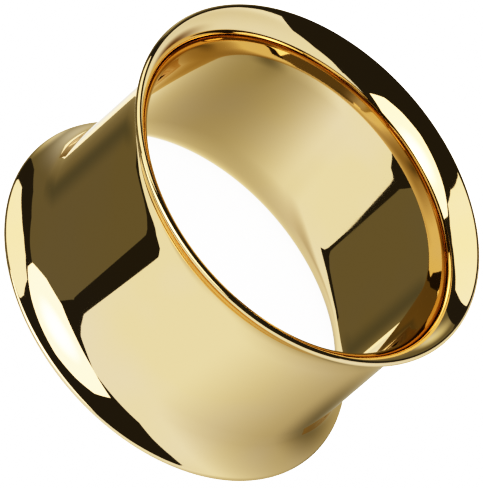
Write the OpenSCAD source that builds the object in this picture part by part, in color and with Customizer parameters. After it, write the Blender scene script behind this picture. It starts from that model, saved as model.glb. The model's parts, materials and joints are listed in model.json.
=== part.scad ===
// Double-flared ear tunnel: one thin-walled tube of polished metal, open right through.
// The earlobe sits on the straight waist, and both ends curl outwards into trumpet rims that hold it there.
// It stands on its lower rim: the tube's axis is +Z, and the origin is on the axis, level with that rim.
// All lengths are in millimetres.

/* [Waist] */
// Outside diameter of the waist, which is the gauge that the lobe is stretched to
gauge_d = 16; // [12:0.5:25]
// Thickness of the wall at the waist
wall_t = 0.4; // [0.35:0.05:0.6]

/* [Rims] */
// Length of the tube over both rims
overall_len = 10.3; // [9:0.1:14]
// How far the edge of each rim stands out past the waist, all round
rim_rise = 0.925; // [0.8:0.025:1.1]
// Thickness of the rounded lip, where the curl has thinned the wall
lip_t = 0.3; // [0.25:0.01:0.34]
// Radius of the curl on the side that faces the lobe
outer_curl_r = 2.4; // [2.2:0.05:2.7]
// Radius of the curl on the side that faces the bore
inner_curl_r = 2.35; // [2.1:0.05:2.6]

/* [Hidden] */
$fn = 240;

waist_r = gauge_d / 2;
bore_r = waist_r - wall_t;
lip_r = lip_t / 2;

// The section lies in a plane through the axis: x is the distance from the axis, y the height above mid-length.
// Centre of the rounded lip, which touches the tube's greatest diameter and its end
lip_c = [waist_r + rim_rise - lip_r, overall_len / 2 - lip_r];
// How far the lip stands proud of the wall on each side: a hair, so that its circle crosses both sides
// instead of only touching them
lip_proud = 0.004;
wall_end_r = lip_r - lip_proud;

// Height of the centre of a curl's circle, given how far that centre lies from the axis and from the lip's centre
function curl_height(centre_x, reach) = lip_c[1] - sqrt(pow(reach, 2) - pow(centre_x - lip_c[0], 2));

// Each curl's circle is tangent to its side of the straight wall and passes the lip's centre at wall_end_r.
outer_x = waist_r + outer_curl_r;
outer_c = [outer_x, curl_height(outer_x, outer_curl_r + wall_end_r)];
inner_x = bore_r + inner_curl_r;
inner_c = [inner_x, curl_height(inner_x, inner_curl_r - wall_end_r)];

// A straight strip that runs into a round at each end; its left edge is the shape of one side of the wall.
module strip_with_round_ends(radius, round_c) {
    translate([round_c[0] - radius, -round_c[1]])
        square([radius, 2 * round_c[1]]);
    for (end = [-1, 1])
        translate([round_c[0], end * round_c[1]])
            circle(r = radius);
}

// Section of the wall: what lies outside the bore but not in the groove for the lobe. Each end is a
// straight line from the outer curl's centre through the lip's centre, hidden inside the lip.
module wall_section() {
    past_lip = 2 * lip_c - outer_c;
    upper = [outer_c, past_lip, [0, past_lip[1]]];
    lower = [for (i = [2:-1:0]) [upper[i][0], -upper[i][1]]];
    difference() {
        intersection() {
            strip_with_round_ends(inner_curl_r, inner_c);
            polygon(concat(upper, lower));
        }
        strip_with_round_ends(outer_curl_r, outer_c);
    }
}

module lip_sections() {
    for (end = [-1, 1])
        translate([lip_c[0], end * lip_c[1]])
            circle(r = lip_r);
}

// The whole tube is one piece: its section turned once round the axis.
module tunnel() {
    color("goldenrod")
        translate([0, 0, overall_len / 2])
            rotate_extrude() {
                wall_section();
                lip_sections();
            }
}

tunnel();
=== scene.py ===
"""Looks, light and camera for a double-flared ear tunnel of gold-plated, mirror-polished steel.

The tunnel is one thin tube, open right through, that stands on its lower rim. Its section is turned round the
axis by Geometry Nodes. Everything else here is the studio round it: a pale floor, glowing cards that only the
polished metal mirrors, and the camera at the photograph's angle. Every length is in metres.
"""

import json
import math

import bmesh
import bpy
from mathutils import Matrix, Vector


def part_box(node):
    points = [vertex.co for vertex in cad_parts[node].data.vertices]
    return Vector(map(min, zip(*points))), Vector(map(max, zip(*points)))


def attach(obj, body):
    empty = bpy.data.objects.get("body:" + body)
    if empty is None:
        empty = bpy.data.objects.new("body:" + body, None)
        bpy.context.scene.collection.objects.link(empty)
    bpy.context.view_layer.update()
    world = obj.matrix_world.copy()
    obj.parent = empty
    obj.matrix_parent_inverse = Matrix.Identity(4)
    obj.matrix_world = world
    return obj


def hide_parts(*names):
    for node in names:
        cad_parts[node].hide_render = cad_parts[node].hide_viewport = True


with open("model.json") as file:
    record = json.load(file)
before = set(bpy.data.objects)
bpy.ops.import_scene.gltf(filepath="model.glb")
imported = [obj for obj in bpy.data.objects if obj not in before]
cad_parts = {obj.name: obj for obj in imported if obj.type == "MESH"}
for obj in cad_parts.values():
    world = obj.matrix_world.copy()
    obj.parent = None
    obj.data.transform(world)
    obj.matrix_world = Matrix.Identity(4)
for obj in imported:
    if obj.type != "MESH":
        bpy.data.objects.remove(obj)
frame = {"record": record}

bl_info = {
    "name": "Polished ear tunnel",
    "version": (1, 0, 0),
    "blender": (4, 5, 0),
    "location": "3D View > Sidebar > Ear tunnel",
    "description": "Makes a gold-plated, double-flared ear tunnel and the studio it is seen in",
    "category": "Add Mesh",
}

MM = 0.001
PIECE_NAME = "polished_tunnel"

# Points nearer to each other than this are the same point
WELD = 1e-7

# Sizes of the plating's faint marks: patches of haze and of thinner plating, waves of the spun wall and how
# deep they and the buffing lines are
HAZE_PATCH = 3.5 * MM
TINT_PATCH = 6.0 * MM
WALL_WAVE = 2.2 * MM
WAVE_DEPTH = 0.0006 * MM
LINE_DEPTH = 0.00002 * MM

# Values of the noise between which haze, buffing lines and thin plating go from their least to their most
HAZE_RANGE = (0.42, 0.72)
LINE_RANGE = (0.35, 0.75)
THIN_RANGE = (0.4, 0.65)

# The least and the most that a buffing line multiplies the haze's roughness by
LINE_SWING = (0.75, 1.25)

# How fast a buffing line changes along its length, against how fast it changes across it
LINE_DRIFT = 0.012

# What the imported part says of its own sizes, and the tunnel's middle, from which camera and cards are placed
MOUNT_RADIUS = {mount["name"]: mount["dims"]["r_mm"] * MM for mount in frame["record"]["mounts"]}
PART_LOW, PART_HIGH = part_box("tunnel")
PART_LENGTH = PART_HIGH.z - PART_LOW.z
MIDDLE = Vector((0, 0, PART_LENGTH / 2))


def linear_colour(hex_colour):
    """Turns an sRGB hex colour into linear red, green, blue and a full alpha."""
    channels = [int(hex_colour[i:i + 2], 16) / 255 for i in (0, 2, 4)]
    return tuple(c / 12.92 if c <= 0.04045 else ((c + 0.055) / 1.055) ** 2.4 for c in channels) + (1.0,)


def add_node(tree, kind, inputs=None, **settings):
    """Adds a node with its settings.

    An input that is given a socket is linked to it, and any other value is set on the input.
    """
    node = tree.nodes.new(kind)
    for name, value in settings.items():
        setattr(node, name, value)
    for key, value in (inputs or {}).items():
        if isinstance(value, bpy.types.NodeSocket):
            tree.links.new(value, node.inputs[key])
        else:
            node.inputs[key].default_value = value
    return node


# Sizes and colours that a user would change


class TunnelSizes(bpy.types.PropertyGroup):
    """Sizes of the tube: the solid part's, but for the curls and the wide arcs that lead into them"""

    gauge: bpy.props.FloatProperty(
        name="Gauge", description="Outside diameter of the waist",
        default=2 * MOUNT_RADIUS["lobe_seat"], min=0.012, max=0.025, unit="LENGTH", precision=5)
    wall: bpy.props.FloatProperty(
        name="Wall", description="Thickness of the wall at the waist",
        default=MOUNT_RADIUS["lobe_seat"] - MOUNT_RADIUS["bore"], min=0.35 * MM, max=0.6 * MM,
        unit="LENGTH", precision=5)
    length: bpy.props.FloatProperty(
        name="Length", description="Length of the tube over both rims",
        default=PART_LENGTH, min=0.009, max=0.014, unit="LENGTH", precision=5)
    rim_rise: bpy.props.FloatProperty(
        name="Rim rise", description="How far the edge of each rim stands out past the waist",
        default=0.925 * MM, min=0.8 * MM, max=1.1 * MM, unit="LENGTH", precision=6)
    lip: bpy.props.FloatProperty(
        name="Lip", description="Thickness of the rounded lip",
        default=0.3 * MM, min=0.25 * MM, max=0.34 * MM, unit="LENGTH", precision=6)
    outer_curl: bpy.props.FloatProperty(
        name="Outer curl", description="Radius of the curl on the side that faces the lobe",
        default=2.12 * MM, min=2.0 * MM, max=2.7 * MM, unit="LENGTH", precision=5)
    inner_curl: bpy.props.FloatProperty(
        name="Inner curl", description="Radius of the curl on the side that faces the bore",
        default=1.92 * MM, min=1.8 * MM, max=2.6 * MM, unit="LENGTH", precision=5)
    outer_ease: bpy.props.FloatProperty(
        name="Outer ease", description="Turn of the wide arc that leads from the waist into the curl",
        default=0.13, min=0.01, max=0.3, subtype="ANGLE")
    inner_ease: bpy.props.FloatProperty(
        name="Inner ease", description="Turn of the wide arc that leads from the bore into the curl",
        default=0.2, min=0.01, max=0.3, subtype="ANGLE")
    ease_radius: bpy.props.FloatProperty(
        name="Ease radius", description="Radius of the wide arcs between the straight walls and the curls",
        default=6.0 * MM, min=4.0 * MM, max=12.0 * MM, unit="LENGTH", precision=5)
    steps_round: bpy.props.IntProperty(
        name="Steps round", description="Faces in one turn round the axis", default=360, min=32, max=720)
    steps_curl: bpy.props.IntProperty(
        name="Steps per curl", description="Faces across each curl of the section", default=34, min=8, max=96)
    steps_ease: bpy.props.IntProperty(
        name="Steps per ease", description="Faces across each wide arc of the section",
        default=12, min=4, max=48)
    steps_lip: bpy.props.IntProperty(
        name="Steps per lip", description="Faces across each rounded lip", default=24, min=8, max=64)
    steps_straight: bpy.props.IntProperty(
        name="Steps per straight", description="Faces along each straight wall", default=14, min=2, max=64)


class GoldPlateFinish(bpy.types.PropertyGroup):
    """Colour and polish of the gold-coloured plating"""

    gold: bpy.props.FloatVectorProperty(
        name="Gold", description="Colour of the plating seen straight on",
        subtype="COLOR", size=4, min=0, max=1, default=linear_colour("e8cd98"))
    thin_gold: bpy.props.FloatVectorProperty(
        name="Thin gold", description="Colour where polishing has thinned the plating a little",
        subtype="COLOR", size=4, min=0, max=1, default=linear_colour("e6cda2"))
    edge_gold: bpy.props.FloatVectorProperty(
        name="Edge gold", description="Tint of the plating at a glancing view",
        subtype="COLOR", size=4, min=0, max=1, default=linear_colour("fff4dc"))
    roughness: bpy.props.FloatProperty(
        name="Roughness", description="Roughness of the cleanest polish", default=0.02, min=0, max=1,
        subtype="FACTOR")
    haze: bpy.props.FloatProperty(
        name="Haze", description="Roughness where the polish is dullest", default=0.06, min=0, max=1,
        subtype="FACTOR")
    polish_line: bpy.props.FloatProperty(
        name="Polishing lines", description="Distance between the fine lines that the buffing wheel left",
        default=0.09 * MM, min=0.02 * MM, max=0.5 * MM, unit="LENGTH", precision=6)


class StudioSettings(bpy.types.PropertyGroup):
    """The floor's colour and the camera's distance from the tunnel"""

    floor: bpy.props.FloatVectorProperty(
        name="Floor", description="Colour of the pale floor",
        subtype="COLOR", size=4, min=0, max=1, default=linear_colour("ffffff"))
    distance: bpy.props.FloatProperty(
        name="Camera distance", description="From the middle of the tunnel to the camera",
        default=0.5, min=0.1, max=5, unit="LENGTH")


# The tube


def tube_section(sizes):
    """Values for the tree's inputs: sizes, steps, and the arcs of the upper half of the wall's section.

    In the section x is the distance from the axis and y the height above mid-length. Each arc has its
    centre, its radius, the angle at which it starts and the angle that it turns through.
    """
    waist_r = sizes.gauge / 2
    bore_r = waist_r - sizes.wall
    lip_r = sizes.lip / 2
    lip = Vector((waist_r + sizes.rim_rise - lip_r, sizes.length / 2 - lip_r))

    def curl(side_r, radius, reach, ease):
        """Centres of a side's wide arc and of its curl, and the angle that the two turn together.

        The wide arc is tangent to the straight wall and turns by ease; the curl goes on to the lip.
        """
        spare = sizes.ease_radius - radius
        x = side_r + sizes.ease_radius - spare * math.cos(ease)
        centre = Vector((x, lip.y - math.sqrt(reach ** 2 - (x - lip.x) ** 2)))
        wide = Vector((side_r + sizes.ease_radius, centre.y - spare * math.sin(ease)))
        return wide, centre, math.atan2(lip.y - centre.y, centre.x - lip.x)

    outer_wide, outer, outer_turn = curl(
        waist_r, sizes.outer_curl, sizes.outer_curl + lip_r, sizes.outer_ease)
    inner_wide, inner, inner_turn = curl(
        bore_r, sizes.inner_curl, sizes.inner_curl - lip_r, sizes.inner_ease)
    arcs = (
        ("Outer ease", outer_wide, sizes.ease_radius, math.pi, -sizes.outer_ease),
        ("Outer curl", outer, sizes.outer_curl, math.pi - sizes.outer_ease, sizes.outer_ease - outer_turn),
        ("Lip", lip, lip_r, -outer_turn, math.pi + outer_turn - inner_turn),
        ("Inner curl", inner, sizes.inner_curl, math.pi - sizes.inner_ease, sizes.inner_ease - inner_turn),
        ("Inner ease", inner_wide, sizes.ease_radius, math.pi, -sizes.inner_ease),
    )
    values = {
        "Waist radius": waist_r,
        "Bore radius": bore_r,
        "Mid height": sizes.length / 2,
        "Steps round": sizes.steps_round,
        "Steps per curl": sizes.steps_curl,
        "Steps per ease": sizes.steps_ease,
        "Steps per lip": sizes.steps_lip,
        "Steps per straight": sizes.steps_straight,
    }
    for name, centre, radius, start, turn in arcs:
        values[name + " centre"] = (centre.x, centre.y, 0)
        values[name + " radius"] = radius
        values[name + " start"] = start
        values[name + " turn"] = turn
    return values


def turned_tube_tree(values, material):
    """A Geometry Nodes tree that draws the wall's section from arcs and lines and turns it round the axis."""
    tree = bpy.data.node_groups.new("turned tube", "GeometryNodeTree")
    kinds = {float: "NodeSocketFloat", int: "NodeSocketInt", tuple: "NodeSocketVector"}
    for name, value in values.items():
        tree.interface.new_socket(name, in_out="INPUT", socket_type=kinds[type(value)])
    tree.interface.new_socket("Finish", in_out="INPUT", socket_type="NodeSocketMaterial")
    tree.interface.new_socket("Geometry", in_out="OUTPUT", socket_type="NodeSocketGeometry")
    size = tree.nodes.new("NodeGroupInput").outputs

    # The arcs of the upper half of the section, each moved to its own centre
    arcs = []
    for name, steps in (
            ("Outer ease", "Steps per ease"), ("Outer curl", "Steps per curl"), ("Lip", "Steps per lip"),
            ("Inner curl", "Steps per curl"), ("Inner ease", "Steps per ease")):
        points = add_node(tree, "ShaderNodeMath", {0: size[steps], 1: 1.0}, operation="ADD")
        arc = add_node(tree, "GeometryNodeCurveArc", {
            "Resolution": points.outputs[0], "Radius": size[name + " radius"],
            "Start Angle": size[name + " start"], "Sweep Angle": size[name + " turn"]}, mode="RADIUS")
        arcs.append(add_node(tree, "GeometryNodeTransform", {
            "Geometry": arc.outputs["Curve"], "Translation": size[name + " centre"]}))

    # The two straight walls, from one end's wide arc to the other's
    lines = []
    for name, radius in (("Outer", "Waist radius"), ("Inner", "Bore radius")):
        centre = add_node(tree, "ShaderNodeSeparateXYZ", {0: size[name + " ease centre"]})
        top = add_node(tree, "ShaderNodeCombineXYZ", {"X": size[radius], "Y": centre.outputs["Y"]})
        low_y = add_node(tree, "ShaderNodeMath", {0: centre.outputs["Y"], 1: -1.0}, operation="MULTIPLY")
        foot = add_node(tree, "ShaderNodeCombineXYZ", {"X": size[radius], "Y": low_y.outputs[0]})
        line = add_node(tree, "GeometryNodeCurvePrimitiveLine", {
            "Start": foot.outputs[0], "End": top.outputs[0]})
        points = add_node(tree, "ShaderNodeMath", {0: size["Steps per straight"], 1: 1.0}, operation="ADD")
        lines.append(add_node(tree, "GeometryNodeResampleCurve", {
            "Curve": line.outputs[0], "Count": points.outputs[0]}))

    upper = add_node(tree, "GeometryNodeJoinGeometry")
    for arc in arcs:
        tree.links.new(arc.outputs[0], upper.inputs[0])
    lower = add_node(tree, "GeometryNodeTransform", {"Geometry": upper.outputs[0], "Scale": (1, -1, 1)})
    section = add_node(tree, "GeometryNodeJoinGeometry")
    for part in (upper, lower, *lines):
        tree.links.new(part.outputs[0], section.inputs[0])

    # Their ends are joined into one closed line, which is swept round a circle.
    edges = add_node(tree, "GeometryNodeCurveToMesh", {"Curve": section.outputs[0]})
    joined = add_node(tree, "GeometryNodeMergeByDistance", {"Geometry": edges.outputs[0], "Distance": WELD})
    outline = add_node(tree, "GeometryNodeMeshToCurve", {"Mesh": joined.outputs[0]})
    circle = add_node(tree, "GeometryNodeCurvePrimitiveCircle", {
        "Resolution": size["Steps round"], "Radius": size["Waist radius"]}, mode="RADIUS")
    inward = add_node(tree, "ShaderNodeMath", {0: size["Waist radius"], 1: -1.0}, operation="MULTIPLY")
    shift = add_node(tree, "ShaderNodeCombineXYZ", {"X": inward.outputs[0]})
    centred = add_node(tree, "GeometryNodeTransform", {
        "Geometry": outline.outputs[0], "Translation": shift.outputs[0]})
    swept = add_node(tree, "GeometryNodeCurveToMesh", {
        "Curve": circle.outputs[0], "Profile Curve": centred.outputs[0]})
    lift = add_node(tree, "ShaderNodeCombineXYZ", {"Z": size["Mid height"]})
    placed = add_node(tree, "GeometryNodeTransform", {
        "Geometry": swept.outputs[0], "Translation": lift.outputs[0]})
    smooth = add_node(tree, "GeometryNodeSetShadeSmooth", {"Geometry": placed.outputs[0]})
    real = add_node(tree, "GeometryNodeRealizeInstances", {"Geometry": smooth.outputs[0]})
    finish = add_node(tree, "GeometryNodeSetMaterial", {
        "Geometry": real.outputs[0], "Material": size["Finish"]})
    add_node(tree, "NodeGroupOutput", {"Geometry": finish.outputs[0]})
    return tree


def solid_from_tree(name, tree, values, material):
    """Makes a plain mesh object from what the tree gives, with every face pointing outwards."""
    carrier = bpy.data.objects.new(name + "_rule", bpy.data.meshes.new(name + "_rule"))
    bpy.context.scene.collection.objects.link(carrier)
    modifier = carrier.modifiers.new("turned tube", "NODES")
    modifier.node_group = tree
    for item in tree.interface.items_tree:
        if item.in_out == "INPUT":
            modifier[item.identifier] = material if item.name == "Finish" else values[item.name]
    depsgraph = bpy.context.evaluated_depsgraph_get()
    mesh = bpy.data.meshes.new_from_object(carrier.evaluated_get(depsgraph), depsgraph=depsgraph)
    bpy.data.objects.remove(carrier)

    shell = bmesh.new()
    shell.from_mesh(mesh)
    bmesh.ops.remove_doubles(shell, verts=shell.verts, dist=WELD)
    bmesh.ops.recalc_face_normals(shell, faces=shell.faces)
    open_edges = [edge for edge in shell.edges if not edge.is_manifold]
    shell.to_mesh(mesh)
    shell.free()
    if open_edges or not mesh.polygons:
        raise RuntimeError(f"{name} isn't a closed surface: {len(open_edges)} open edges")
    mesh.name = name
    piece = bpy.data.objects.new(name, mesh)
    bpy.context.scene.collection.objects.link(piece)
    return piece


def gold_plate_material(finish):
    """Titanium-nitride gold plating on mirror-polished stainless steel.

    The plating is a thousandth of a millimetre thick and keeps the steel's polish, so the eye sees a crisp
    mirror of warm gold. What gives it away as metal is a faint haze, buffing lines round the axis, the
    slight waves of a spun wall, and a paler gold where the plating is thinnest.
    """
    material = bpy.data.materials.new("nitride_gold_plate_mirror_polish")
    material.use_nodes = True
    tree = material.node_tree
    tree.nodes.clear()
    place = add_node(tree, "ShaderNodeTexCoord").outputs["Object"]

    # Buffing lines run round the axis: the pattern is stretched along the circumference. Real ones are about
    # a hundredth of a millimetre apart, too fine to show here, so these are drawn coarser.
    apart = add_node(tree, "ShaderNodeSeparateXYZ", {0: place})
    flat = add_node(tree, "ShaderNodeCombineXYZ", {"X": apart.outputs["X"], "Y": apart.outputs["Y"]})
    radius = add_node(tree, "ShaderNodeVectorMath", {0: flat.outputs[0]}, operation="LENGTH")
    across = add_node(tree, "ShaderNodeCombineXYZ", {
        "X": radius.outputs["Value"], "Y": apart.outputs["Z"]})
    drift = add_node(tree, "ShaderNodeVectorMath", {0: place, "Scale": LINE_DRIFT}, operation="SCALE")
    lined = add_node(tree, "ShaderNodeVectorMath", {
        0: across.outputs[0], 1: drift.outputs[0]}, operation="ADD")
    lines = add_node(tree, "ShaderNodeTexNoise", {
        "Vector": lined.outputs[0], "Scale": 1 / finish.polish_line, "Detail": 2.0, "Roughness": 0.6})

    # Haze lies in patches a few millimetres wide, as a cloth leaves it.
    patches = add_node(tree, "ShaderNodeTexNoise", {
        "Vector": place, "Scale": 1 / HAZE_PATCH, "Detail": 3.0, "Roughness": 0.55})
    veil = add_node(tree, "ShaderNodeMapRange", {
        "Value": patches.outputs[0], "From Min": HAZE_RANGE[0], "From Max": HAZE_RANGE[1],
        "To Min": finish.roughness, "To Max": finish.haze})
    streaks = add_node(tree, "ShaderNodeMapRange", {
        "Value": lines.outputs[0], "From Min": LINE_RANGE[0], "From Max": LINE_RANGE[1],
        "To Min": LINE_SWING[0], "To Max": LINE_SWING[1]})
    roughness = add_node(tree, "ShaderNodeMath", {
        0: veil.outputs[0], 1: streaks.outputs[0]}, operation="MULTIPLY")

    # The plating is thinnest where the wheel pressed hardest.
    pressed = add_node(tree, "ShaderNodeTexNoise", {
        "Vector": place, "Scale": 1 / TINT_PATCH, "Detail": 2.0})
    thin = add_node(tree, "ShaderNodeMapRange", {
        "Value": pressed.outputs[0], "From Min": THIN_RANGE[0], "From Max": THIN_RANGE[1]})
    tint = add_node(tree, "ShaderNodeMix", {
        "Factor": thin.outputs[0], "A": finish.gold, "B": finish.thin_gold}, data_type="RGBA")

    # Slow waves of the spun wall, and the lines' own depth
    waves = add_node(tree, "ShaderNodeTexNoise", {"Vector": place, "Scale": 1 / WALL_WAVE, "Detail": 0.0})
    waved = add_node(tree, "ShaderNodeBump", {
        "Strength": 1.0, "Distance": WAVE_DEPTH, "Height": waves.outputs[0]})
    scored = add_node(tree, "ShaderNodeBump", {
        "Strength": 1.0, "Distance": LINE_DEPTH, "Height": lines.outputs[0], "Normal": waved.outputs[0]})

    shader = add_node(tree, "ShaderNodeBsdfPrincipled", {
        "Base Color": tint.outputs["Result"], "Metallic": 1.0, "Roughness": roughness.outputs[0],
        "Specular Tint": finish.edge_gold, "Normal": scored.outputs[0]})
    add_node(tree, "ShaderNodeOutputMaterial", {"Surface": shader.outputs[0]})
    return material


# The studio


def direction(azimuth, elevation):
    """Unit vector to a direction given in degrees: azimuth from +X towards +Y, and elevation."""
    az, el = math.radians(azimuth), math.radians(elevation)
    return Vector((math.cos(el) * math.cos(az), math.cos(el) * math.sin(az), math.sin(el)))


def glow_material(name, colour, strength, spots):
    """Even light that soft round spots brighten or dim, and that fades out along the card's soft edge."""
    material = bpy.data.materials.new(name)
    material.use_nodes = True
    tree = material.node_tree
    tree.nodes.clear()
    place = add_node(tree, "ShaderNodeTexCoord").outputs["Object"]
    light = colour
    for centre, radius, factor in spots:
        gap = add_node(tree, "ShaderNodeVectorMath", {0: place, 1: centre}, operation="DISTANCE")
        fade = add_node(tree, "ShaderNodeMapRange", {
            "Vector": gap.outputs["Value"], "From Max": (radius,) * 3, "To Min": factor, "To Max": (1, 1, 1)},
            data_type="FLOAT_VECTOR", interpolation_type="SMOOTHSTEP")
        light = add_node(tree, "ShaderNodeMix", {
            "Factor": 1.0, "A": light, "B": fade.outputs["Vector"]},
            data_type="RGBA", blend_type="MULTIPLY").outputs["Result"]
    glow = add_node(tree, "ShaderNodeEmission", {"Color": light, "Strength": strength})
    clear = add_node(tree, "ShaderNodeBsdfTransparent")
    edge = add_node(tree, "ShaderNodeAttribute", attribute_name="edge")
    soft = add_node(tree, "ShaderNodeMapRange", {
        "Value": edge.outputs["Fac"]}, interpolation_type="SMOOTHSTEP")
    mixed = add_node(tree, "ShaderNodeMixShader", {
        0: soft.outputs[0], 1: clear.outputs[0], 2: glow.outputs[0]})
    add_node(tree, "ShaderNodeOutputMaterial", {"Surface": mixed.outputs[0]})
    return material


def add_card(name, corners, distance, soft, colour, strength, spots, facing=None):
    """A glowing card that only the polished metal mirrors.

    Its corners lie in the given directions on one plane, which is at the given distance and square to the
    direction facing, or to the middle of its corners. Its edge is soft over a border of the width soft.
    """
    rays = [direction(*corner) for corner in corners]
    normal = direction(*facing) if facing else sum(rays, Vector()).normalized()

    def on_card(ray):
        return MIDDLE + ray * (distance / ray.dot(normal))

    shape = bmesh.new()
    edge = shape.verts.layers.float.new("edge")
    face = shape.faces.new([shape.verts.new(on_card(ray)) for ray in rays])
    bmesh.ops.inset_region(shape, faces=[face], thickness=soft, use_even_offset=True)
    for vert in face.verts:
        vert[edge] = 1.0
    bmesh.ops.triangulate(shape, faces=shape.faces)
    mesh = bpy.data.meshes.new(name)
    shape.to_mesh(mesh)
    shape.free()
    placed_spots = [(on_card(direction(*toward)), radius, factor) for toward, radius, factor in spots]
    mesh.materials.append(glow_material(name, linear_colour(colour), strength, placed_spots))
    card = bpy.data.objects.new(name, mesh)
    bpy.context.scene.collection.objects.link(card)
    card.visible_camera = False
    card.visible_diffuse = False
    card.visible_shadow = False


# The studio's cards. Corners, facing and spots are directions as azimuth and elevation in degrees; a spot
# also has its radius and the factors that it gives the light's red, green and blue at its middle.
CARDS = (
    {"name": "key_softbox", "distance": 0.45, "soft": 0.03, "colour": "ffffff", "strength": 2.5,
     "corners": ((16, 16), (9, 35), (-4, 43), (-23, 46), (-40, 40), (-54, 31), (-68, 15), (-68, 3),
                 (-57, -16), (-41, -26), (-22, -16), (-3, -2)),
     "spots": (((-29, 12), 0.19, (2.3, 2.3, 2.3)),)},
    {"name": "overhead_softbox", "distance": 0.48, "soft": 0.034, "colour": "fffffc", "strength": 1.7,
     "corners": ((-68, 52), (-62, 42), (-63, 24), (-74, 13), (-84, 9), (-97, 9), (-114, 12), (-127, 26),
                 (-151, 44), (-148, 60), (-100, 70), (-78, 62)),
     "spots": ()},
    {"name": "olive_wall", "distance": 0.5, "facing": (-99.3, -12.3), "soft": 0.09, "colour": "fffde0",
     "corners": ((-48, 12), (-45, -12), (-42, -40), (-47, -45), (-57, -50), (-100, -53), (-172, -47),
                 (-168, 42), (-142, 28), (-123, -1), (-110, -10), (-94, -10), (-79, -1)),
     "strength": 0.26,
     "spots": (((-165, -25), 0.75, (2.6, 2.6, 2.7)), ((-148, -14), 0.36, (1.8, 2.05, 3.4)),
               ((-143, 10), 0.22, (3.8, 3.9, 4.3)), ((-121, -41), 0.14, (0.72, 0.76, 0.82)))},
    {"name": "near_sheet", "distance": 0.045, "facing": (10, -45), "soft": 0.004, "colour": "f0f6ff",
     "corners": ((0, -2), (35, 14), (60, -20), (30, -60), (-20, -64), (-42, -60), (-46, -53), (-44, -46),
                 (-38, -43), (-29, -39), (-23, -31)),
     "strength": 1.5, "spots": ()},
    {"name": "pale_table", "distance": 0.0125, "facing": (102, -36), "soft": 0.003, "colour": "f0f6ff",
     "corners": ((11, -8), (30, 8), (46, 23), (62, 31), (84, 41), (106, 51), (130, 46), (158, 32), (178, 2),
                 (-165, -20), (-150, -41), (-130, -54), (-100, -57), (-62, -55), (-40, -50), (0, -45)),
     "strength": 1.5,
     # These spots are painted shade on the table card. (118, -43) and (106, -32) are the tunnel's own painted
     # shadow beside it. (-72, -76) is a second patch of painted shadow below it. (155, 11) is a painted shadow
     # tinted brown by painted gold light from the tunnel. (131, 38) is painted shade where the light falls off
     # towards the table's far corner.
     "spots": (((118, -43), 0.023, (0.4, 0.37, 0.28)), ((106, -32), 0.0042, (0.5, 0.5, 0.47)),
               ((-72, -76), 0.026, (0.6, 0.56, 0.5)), ((131, 38), 0.07, (0.82, 0.8, 0.74)),
               ((155, 11), 0.016, (0.2, 0.11, 0.04)))},
    {"name": "back_strip", "distance": 0.07, "soft": 0.003, "colour": "ffffff", "strength": 1.7,
     "corners": ((-143, -30), (-143, -52), (-154, -52), (-154, -30)), "spots": ()},
)


# Strength of the white light that the camera and the floor see, and of the dark room that the metal mirrors
WHITE_STRENGTH = 3.0
ROOM_STRENGTH = 0.06


def studio_world():
    """Even white light for the camera and the floor; a dark room for whatever the metal mirrors."""
    world = bpy.data.worlds.new("studio_room")
    bpy.context.scene.world = world
    world.use_nodes = True
    tree = world.node_tree
    tree.nodes.clear()
    path = add_node(tree, "ShaderNodeLightPath")
    mirrored = add_node(tree, "ShaderNodeBackground", {
        "Color": linear_colour("fffcf0"), "Strength": ROOM_STRENGTH})
    seen = add_node(tree, "ShaderNodeBackground", {"Color": (1, 1, 1, 1), "Strength": WHITE_STRENGTH})
    mixed = add_node(tree, "ShaderNodeMixShader", {
        0: path.outputs["Is Glossy Ray"], 1: seen.outputs[0], 2: mirrored.outputs[0]})
    add_node(tree, "ShaderNodeOutputWorld", {"Surface": mixed.outputs[0]})


# The photograph's film curve: it holds the darks down and rolls the lights off to a clean white.
FILM_MIDDLE = 0.75
FILM_SLOPE = 1.55
FILM_WHITE = 3.0
FILM_STEPS = 24


def set_film_curve(view):
    """Standard view with the film curve laid over the light from black to FILM_WHITE.

    The curve's steps lie closer together in the darks, where it bends most.
    """
    view.view_transform = "Standard"
    view.use_curve_mapping = True
    mapping = view.curve_mapping
    mapping.white_level = (FILM_WHITE, FILM_WHITE, FILM_WHITE)
    all_channels = mapping.curves[3]
    for step in range(1, FILM_STEPS):
        share = (step / FILM_STEPS) ** 2
        all_channels.points.new(share, 1 - math.exp(-(share * FILM_WHITE / FILM_MIDDLE) ** FILM_SLOPE))
    mapping.update()


# Degrees that the photograph's camera stands above the rim's plane, and that it is turned about its own axis
CAMERA_ELEVATION = 41.03
CAMERA_ROLL = 48.80

# The photograph's pixels: those in a millimetre at the tunnel's middle, the one where that middle lies, and
# the width and height of the picture
PIXELS_PER_MM = 23.281
MIDDLE_PIXEL = (241.61, 242.05)
PICTURE_SIZE = (483, 488)

# Millimetres of the camera's sensor that the picture's longer side, its height, takes up
SENSOR_SIZE = 24

# The camera sees this far, well past the floor's edge
FAR_SIGHT = 100


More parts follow.
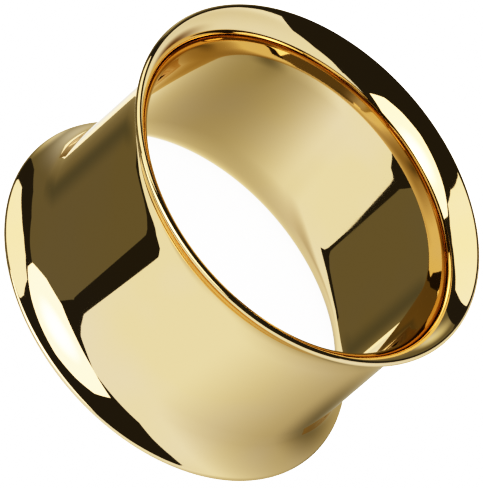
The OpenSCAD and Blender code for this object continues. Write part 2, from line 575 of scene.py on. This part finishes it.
def add_camera(settings):
    """The photograph's camera, looking at the middle of the tunnel."""
    elevation, roll = math.radians(CAMERA_ELEVATION), math.radians(CAMERA_ROLL)
    toward = direction(0, CAMERA_ELEVATION)
    right, up = Vector((0, 1, 0)), Vector((-math.sin(elevation), 0, math.cos(elevation)))
    image_right = right * math.cos(roll) + up * math.sin(roll)
    image_up = up * math.cos(roll) - right * math.sin(roll)
    camera = bpy.data.cameras.new("camera")
    width, height = PICTURE_SIZE
    camera.sensor_width = SENSOR_SIZE
    camera.lens = PIXELS_PER_MM * settings.distance / MM / height * SENSOR_SIZE
    camera.shift_x = -(MIDDLE_PIXEL[0] - (width - 1) / 2) / height
    camera.shift_y = (MIDDLE_PIXEL[1] - (height - 1) / 2) / height
    camera.clip_end = FAR_SIGHT
    seat = bpy.data.objects.new("camera", camera)
    bpy.context.scene.collection.objects.link(seat)
    place = MIDDLE + toward * settings.distance
    seat.matrix_world = Matrix((
        (image_right.x, image_up.x, toward.x, place.x),
        (image_right.y, image_up.y, toward.y, place.y),
        (image_right.z, image_up.z, toward.z, place.z),
        (0, 0, 0, 1)))
    bpy.context.scene.camera = seat


# Half the floor's width, how much of the light its paper gives back, and its own glow
FLOOR_HALF = 3.0
PAPER_SHADE = 0.5
FLOOR_GLOW = 1.5


def add_floor(settings):
    """A pale floor that glows, so that it stays white under the tunnel as in the photograph.

    The metal doesn't mirror it: the cards pale_table and near_sheet stand in for it there.
    """
    mesh = bpy.data.meshes.new("pale_floor")
    corners = [(x * FLOOR_HALF, y * FLOOR_HALF, 0) for x, y in ((-1, -1), (1, -1), (1, 1), (-1, 1))]
    mesh.from_pydata(corners, [], [(0, 1, 2, 3)])
    material = bpy.data.materials.new("pale_paper")
    material.use_nodes = True
    tree = material.node_tree
    tree.nodes.clear()
    # Matte paper has no gloss, so the eye sees an even white.
    paper = add_node(tree, "ShaderNodeBsdfPrincipled", {
        "Base Color": (PAPER_SHADE, PAPER_SHADE, PAPER_SHADE, 1), "Roughness": 1.0,
        "Specular IOR Level": 0.0, "Emission Color": settings.floor, "Emission Strength": FLOOR_GLOW})
    add_node(tree, "ShaderNodeOutputMaterial", {"Surface": paper.outputs[0]})
    mesh.materials.append(material)
    floor = bpy.data.objects.new("pale_floor", mesh)
    bpy.context.scene.collection.objects.link(floor)
    floor.visible_glossy = False


# Operators and the panel that lists them


class OBJECT_OT_add_ear_tunnel(bpy.types.Operator):
    """Makes the polished tube from the section's sizes and puts it in the solid's place"""

    bl_idname = "object.add_ear_tunnel"
    bl_label = "Ear tunnel"

    def execute(self, context):
        sizes = context.scene.ear_tunnel_sizes
        material = gold_plate_material(context.scene.ear_tunnel_finish)
        values = tube_section(sizes)
        tree = turned_tube_tree(values, material)
        piece = solid_from_tree(PIECE_NAME, tree, values, material)
        bpy.data.node_groups.remove(tree)
        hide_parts("tunnel")
        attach(piece, "root")
        return {"FINISHED"}


class SCENE_OT_add_tunnel_studio(bpy.types.Operator):
    """Sets up the floor, the light and the camera"""

    bl_idname = "scene.add_tunnel_studio"
    bl_label = "Studio"

    def execute(self, context):
        settings = context.scene.ear_tunnel_studio
        add_floor(settings)
        studio_world()
        for card in CARDS:
            add_card(**card)
        add_camera(settings)
        set_film_curve(context.scene.view_settings)
        return {"FINISHED"}


class VIEW3D_PT_ear_tunnel(bpy.types.Panel):
    """Lists the tunnel's operators and their settings"""

    bl_idname = "VIEW3D_PT_ear_tunnel"
    bl_label = "Ear tunnel"
    bl_space_type = "VIEW_3D"
    bl_region_type = "UI"
    bl_category = "Ear tunnel"

    def draw(self, context):
        layout = self.layout
        for group, kind in (
                (context.scene.ear_tunnel_sizes, TunnelSizes),
                (context.scene.ear_tunnel_finish, GoldPlateFinish),
                (context.scene.ear_tunnel_studio, StudioSettings)):
            for name in kind.__annotations__:
                layout.prop(group, name)
        layout.operator(OBJECT_OT_add_ear_tunnel.bl_idname)
        layout.operator(SCENE_OT_add_tunnel_studio.bl_idname)


CLASSES = (
    TunnelSizes, GoldPlateFinish, StudioSettings,
    OBJECT_OT_add_ear_tunnel, SCENE_OT_add_tunnel_studio, VIEW3D_PT_ear_tunnel,
)


def register():
    for kind in CLASSES:
        bpy.utils.register_class(kind)
    bpy.types.Scene.ear_tunnel_sizes = bpy.props.PointerProperty(type=TunnelSizes)
    bpy.types.Scene.ear_tunnel_finish = bpy.props.PointerProperty(type=GoldPlateFinish)
    bpy.types.Scene.ear_tunnel_studio = bpy.props.PointerProperty(type=StudioSettings)


def unregister():
    del bpy.types.Scene.ear_tunnel_studio
    del bpy.types.Scene.ear_tunnel_finish
    del bpy.types.Scene.ear_tunnel_sizes
    for kind in reversed(CLASSES):
        bpy.utils.unregister_class(kind)


def main():
    """Makes the tunnel and its studio."""
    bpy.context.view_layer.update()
    register()
    bpy.ops.object.add_ear_tunnel()
    bpy.ops.scene.add_tunnel_studio()


if __name__ == "__main__":
    main()
